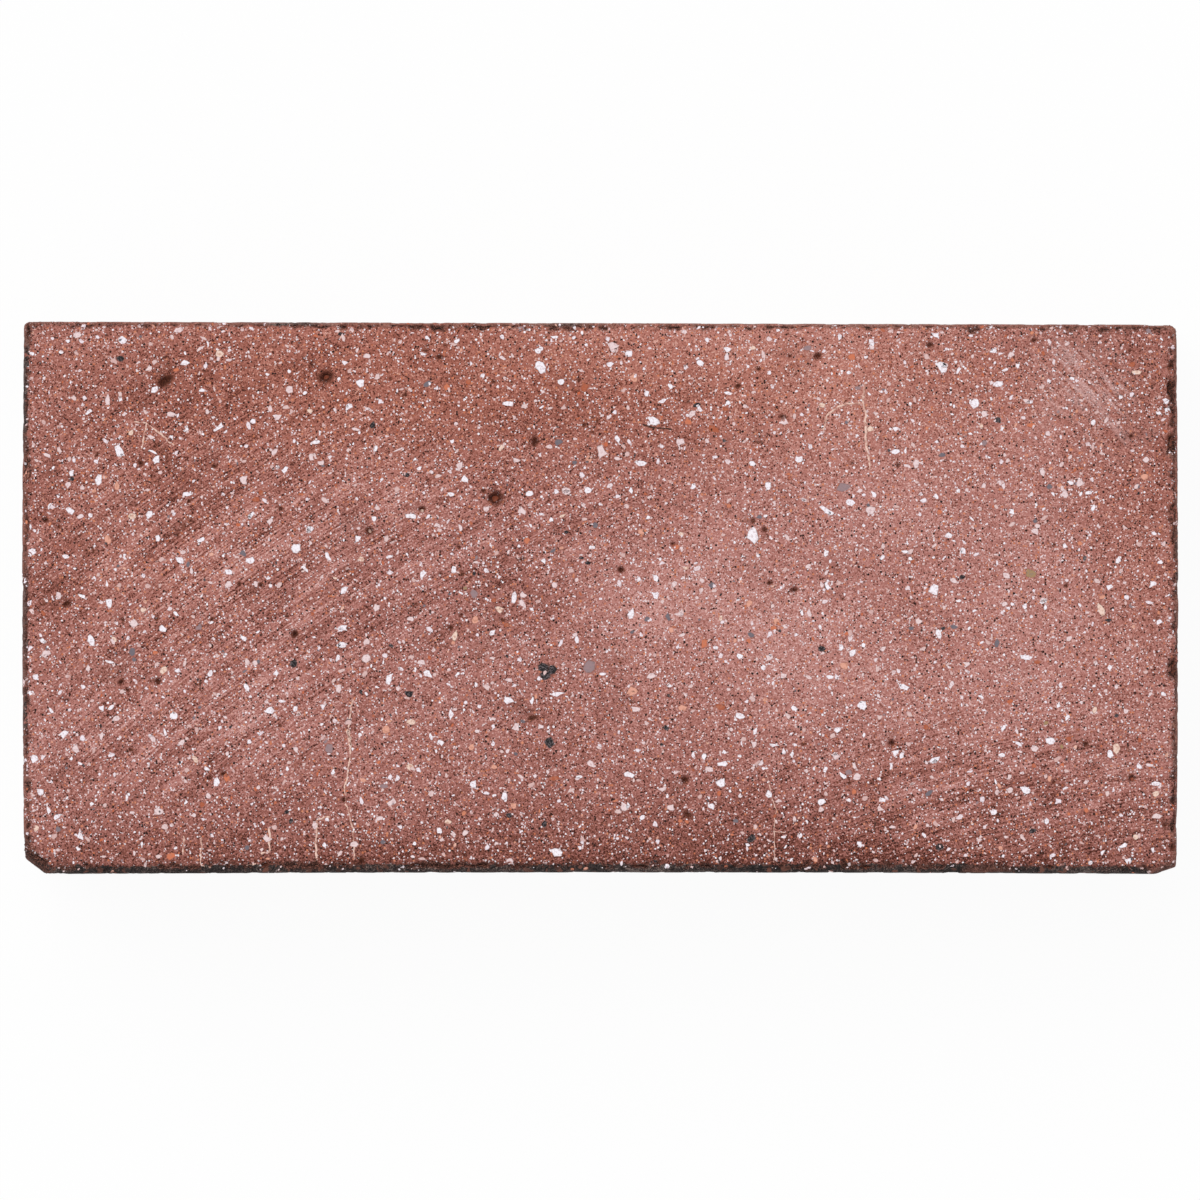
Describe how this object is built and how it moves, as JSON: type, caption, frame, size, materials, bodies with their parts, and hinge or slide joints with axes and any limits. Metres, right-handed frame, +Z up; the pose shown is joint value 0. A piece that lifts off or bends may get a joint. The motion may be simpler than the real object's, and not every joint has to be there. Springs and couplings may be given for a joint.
{
  "type": "clay paver",
  "caption": "Solid rectangular clay paver with a flat, gritty wearing face, softly worn arrises and a broken corner, laid on its bed face as paving.",
  "frame": {"origin": "on the bed face, under the middle of the paver's box", "axes": "+X along the length, +Y across the width towards the back side, +Z up to the wearing face"},
  "size_m": [0.215, 0.1028, 0.05],
  "materials": {
    "fired_clay": "matt, gritty, cut grains showing"
  },
  "bodies": {
    "root": {"clay_paver": "fired_clay"}
  },
  "joints": []
}
